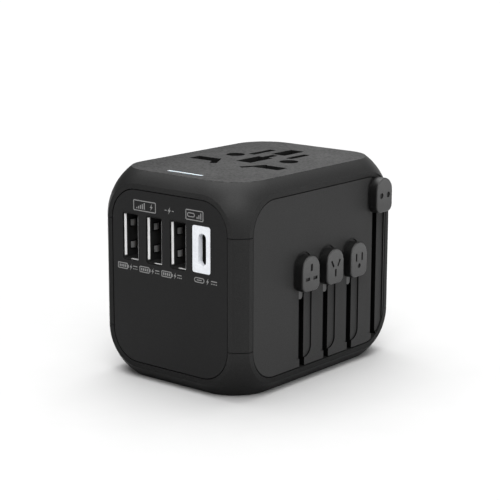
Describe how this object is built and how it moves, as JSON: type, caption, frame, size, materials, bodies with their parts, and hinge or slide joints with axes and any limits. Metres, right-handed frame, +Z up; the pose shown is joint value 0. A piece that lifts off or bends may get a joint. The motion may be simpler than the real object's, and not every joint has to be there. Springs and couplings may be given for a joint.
{
  "type": "universal travel adapter",
  "caption": "Bevelled block travel adapter with a multi-standard socket, USB charging ports and side knobs that slide plug pins out of its underside.",
  "frame": {"origin": "middle of the flat underside of the housing, which it stands on", "axes": "+X to the slider side, +Y from the port face to the back, +Z up towards the socket"},
  "size_m": [0.053, 0.068, 0.057],
  "materials": {
    "housing_black": "fine spark-eroded grain, satin",
    "panel_black": "finer, slightly smoother than the housing",
    "slider_black": "fine grain, a shade lighter than the other panels",
    "knob_grey": "satin moulded",
    "carriage_black": "moulded",
    "port_white": "smooth",
    "light_diffuser": "frosted",
    "port_steel": "stamped, nickel plated",
    "port_black": "moulded",
    "contact_gold": "plated",
    "pin_nickel": "nickel plated brass, satin",
    "board_green": "solder mask",
    "component_grey": "moulded",
    "fuse_ceramic": "glazed",
    "screw_steel": "zinc plated",
    "spring_steel": "rolled strip"
  },
  "bodies": {
    "housing": {"back_panel": "panel_black", "bottom_cover": "housing_black", "capacitors": "component_grey", "case_screws": "screw_steel", "charger_board": "board_green", "earth_contact": "contact_gold", "front_panel": "panel_black", "fuse": "fuse_ceramic", "fuse_clips": "contact_gold", "left_panel": "panel_black", "light_board": "board_green", "light_pipe": "light_diffuser", "line_contact": "contact_gold", "middle_frame": "housing_black", "neutral_contact": "contact_gold", "slider_panel": "slider_black", "socket_core": "carriage_black", "status_led": "fuse_ceramic", "top_cover": "housing_black", "transformer": "component_grey", "usb_a_contacts": "contact_gold", "usb_a_shell_1": "port_steel", "usb_a_shell_2": "port_steel", "usb_a_shell_3": "port_steel", "usb_a_tongue_1": "port_black", "usb_a_tongue_2": "port_black", "usb_a_tongue_3": "port_black", "usb_c_shell": "port_steel", "usb_c_surround": "port_white", "usb_c_tongue": "port_black"},
    "uk_plug": {"uk_carriage": "carriage_black", "uk_line_pin": "pin_nickel", "uk_neutral_pin": "pin_nickel", "uk_earth_pin": "pin_nickel", "uk_knob_spring": "spring_steel"},
    "aus_plug": {"aus_carriage": "carriage_black", "aus_line_blade": "pin_nickel", "aus_neutral_blade": "pin_nickel", "aus_knob_spring": "spring_steel"},
    "us_plug": {"us_carriage": "carriage_black", "us_line_blade": "pin_nickel", "us_neutral_blade": "pin_nickel", "us_knob_spring": "spring_steel"},
    "eu_plug": {"eu_carriage": "carriage_black", "eu_line_pin": "pin_nickel", "eu_neutral_pin": "pin_nickel", "eu_knob_spring": "spring_steel"},
    "uk_button": {"uk_knob": "knob_grey"},
    "aus_button": {"aus_knob": "knob_grey"},
    "us_button": {"us_knob": "knob_grey"},
    "eu_button": {"eu_knob": "knob_grey"}
  },
  "joints": [
    {"name": "uk_slide", "type": "slide", "parent": "housing", "child": "uk_plug", "axis": [0, 0, -1], "range_m": [0, 0.0185]},
    {"name": "uk_knob_press", "type": "slide", "parent": "uk_plug", "child": "uk_button", "axis": [-1, 0, 0], "range_m": [0, 0.0006], "stiffness_N_per_m": 400, "springref_m": -0.001, "deforming": ["uk_knob_spring"]},
    {"name": "aus_slide", "type": "slide", "parent": "housing", "child": "aus_plug", "axis": [0, 0, -1], "range_m": [0, 0.0185]},
    {"name": "aus_knob_press", "type": "slide", "parent": "aus_plug", "child": "aus_button", "axis": [-1, 0, 0], "range_m": [0, 0.0006], "stiffness_N_per_m": 400, "springref_m": -0.001, "deforming": ["aus_knob_spring"]},
    {"name": "us_slide", "type": "slide", "parent": "housing", "child": "us_plug", "axis": [0, 0, -1], "range_m": [0, 0.0185]},
    {"name": "us_knob_press", "type": "slide", "parent": "us_plug", "child": "us_button", "axis": [-1, 0, 0], "range_m": [0, 0.0006], "stiffness_N_per_m": 400, "springref_m": -0.001, "deforming": ["us_knob_spring"]},
    {"name": "eu_slide", "type": "slide", "parent": "housing", "child": "eu_plug", "axis": [0, 0, -1], "range_m": [0, 0.034]},
    {"name": "eu_knob_press", "type": "slide", "parent": "eu_plug", "child": "eu_button", "axis": [-1, 0, 0], "range_m": [0, 0.0006], "stiffness_N_per_m": 400, "springref_m": -0.001, "deforming": ["eu_knob_spring"]}
  ]
}
